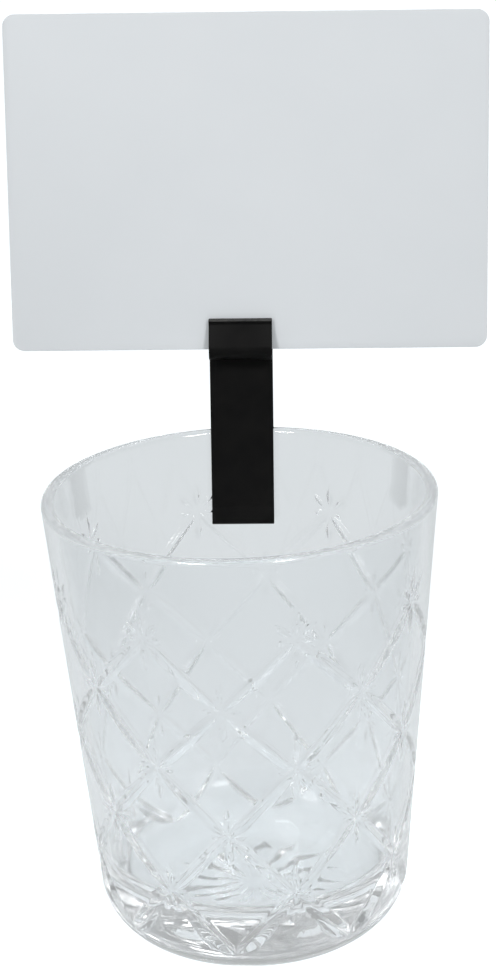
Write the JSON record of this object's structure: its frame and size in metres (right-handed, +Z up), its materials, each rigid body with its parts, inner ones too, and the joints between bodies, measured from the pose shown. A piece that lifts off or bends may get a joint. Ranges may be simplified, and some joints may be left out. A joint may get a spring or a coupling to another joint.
{
  "type": "place card holder",
  "caption": "Place card holder: a heavy cut-glass tumbler with a black spring-steel clip over its rim, whose jaw holds a blank white card upright.",
  "frame": {"origin": "centre of the tumbler's base, on the surface it stands on", "axes": "+Z up along the tumbler's axis, -Y towards the viewer of the card, +X to that viewer's right; the clip is at +Y"},
  "size_m": [0.1065, 0.0878, 0.1949],
  "materials": {
    "clear_glass": "polished, with cut lattice",
    "black_steel": "satin black",
    "white_card": "smooth matt board"
  },
  "bodies": {
    "glass": {"tumbler": "clear_glass"},
    "clip": {"rim_clip": "black_steel", "card_jaw": "black_steel"},
    "card": {"card": "white_card"}
  },
  "joints": [
    {"name": "clip_lift", "type": "slide", "parent": "glass", "child": "clip", "axis": [0.0227, 0.0928, 0.9954], "range_m": [0, 0.04]},
    {"name": "card_lift", "type": "slide", "parent": "clip", "child": "card", "axis": [0.0227, 0.0928, 0.9954], "range_m": [0, 0.02]}
  ]
}
